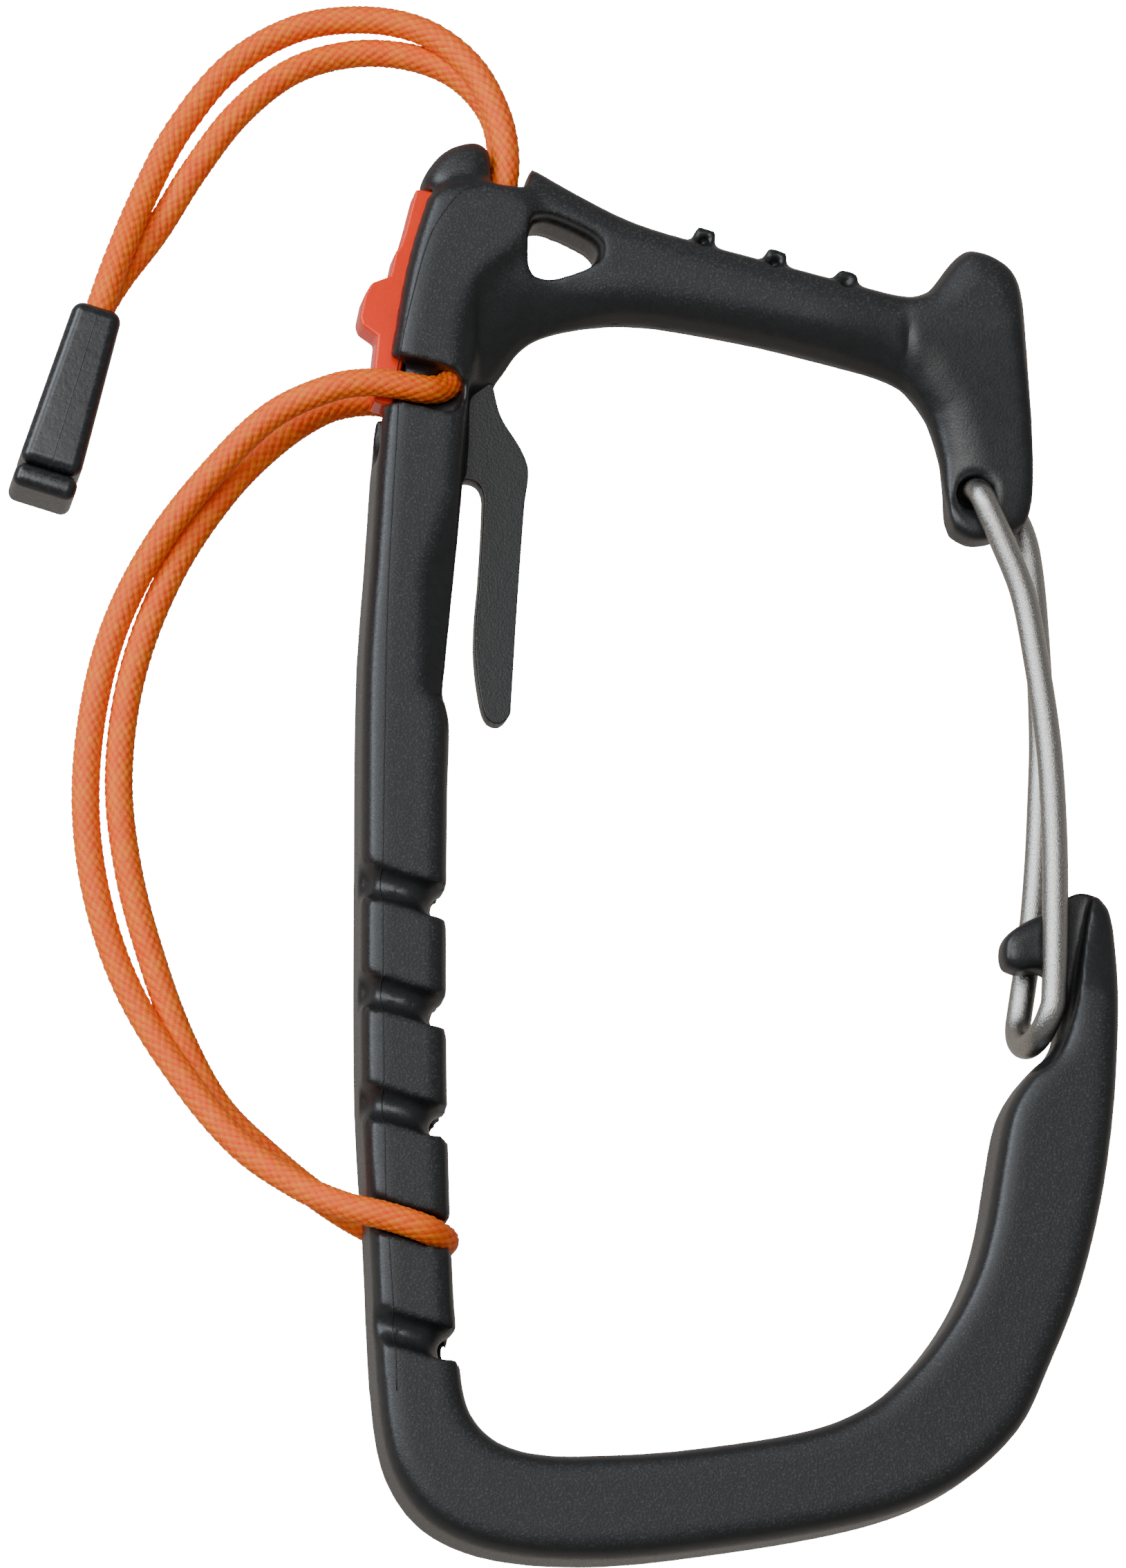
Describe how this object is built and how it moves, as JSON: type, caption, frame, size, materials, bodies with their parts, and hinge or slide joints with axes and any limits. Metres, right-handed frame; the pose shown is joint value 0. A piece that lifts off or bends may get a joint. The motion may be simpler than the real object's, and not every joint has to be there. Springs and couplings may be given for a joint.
{
  "type": "harness tool carabiner",
  "caption": "Moulded plastic tool carabiner for a climbing harness, with a sprung wire gate, an accessory cord in grooves, a sliding cord lock and a cord end.",
  "frame": {"origin": "under the middle of the carabiner's own box (without the cord and the cord end), on the surface that it lies on", "axes": "+Y along the spine from the hook up to the head, +X from the spine's back to the gate, +Z through the thickness, up"},
  "size_m": [0.1154, 0.1654, 0.0123],
  "materials": {
    "frame": "fine spark-eroded texture, half matt",
    "wire": "drawn stainless wire, satin",
    "slider": "moulded, glossy",
    "cord": "tight round braid",
    "cord_end": "moulded, half gloss",
    "strip": "satin strip"
  },
  "bodies": {
    "body": {"frame": "frame", "cord": "cord", "cord_end_barrel": "cord_end", "cord_end_cap": "cord_end", "cord_end_strip": "strip"},
    "gate": {"wire_gate": "wire"},
    "slider": {"cord_lock_slider": "slider"}
  },
  "joints": [
    {"name": "gate_hinge", "type": "hinge", "parent": "body", "child": "gate", "pos_m": [0.026, 0.03955, 0.0055], "axis": [0, 0, -1], "range_deg": [0, 25], "stiffness_Nm_per_rad": 0.6, "springref_deg": -14.32},
    {"name": "cord_lock_slide", "type": "slide", "parent": "body", "child": "slider", "axis": [0.2334, 0.9724, 0], "range_m": [-0.005, 0]}
  ]
}
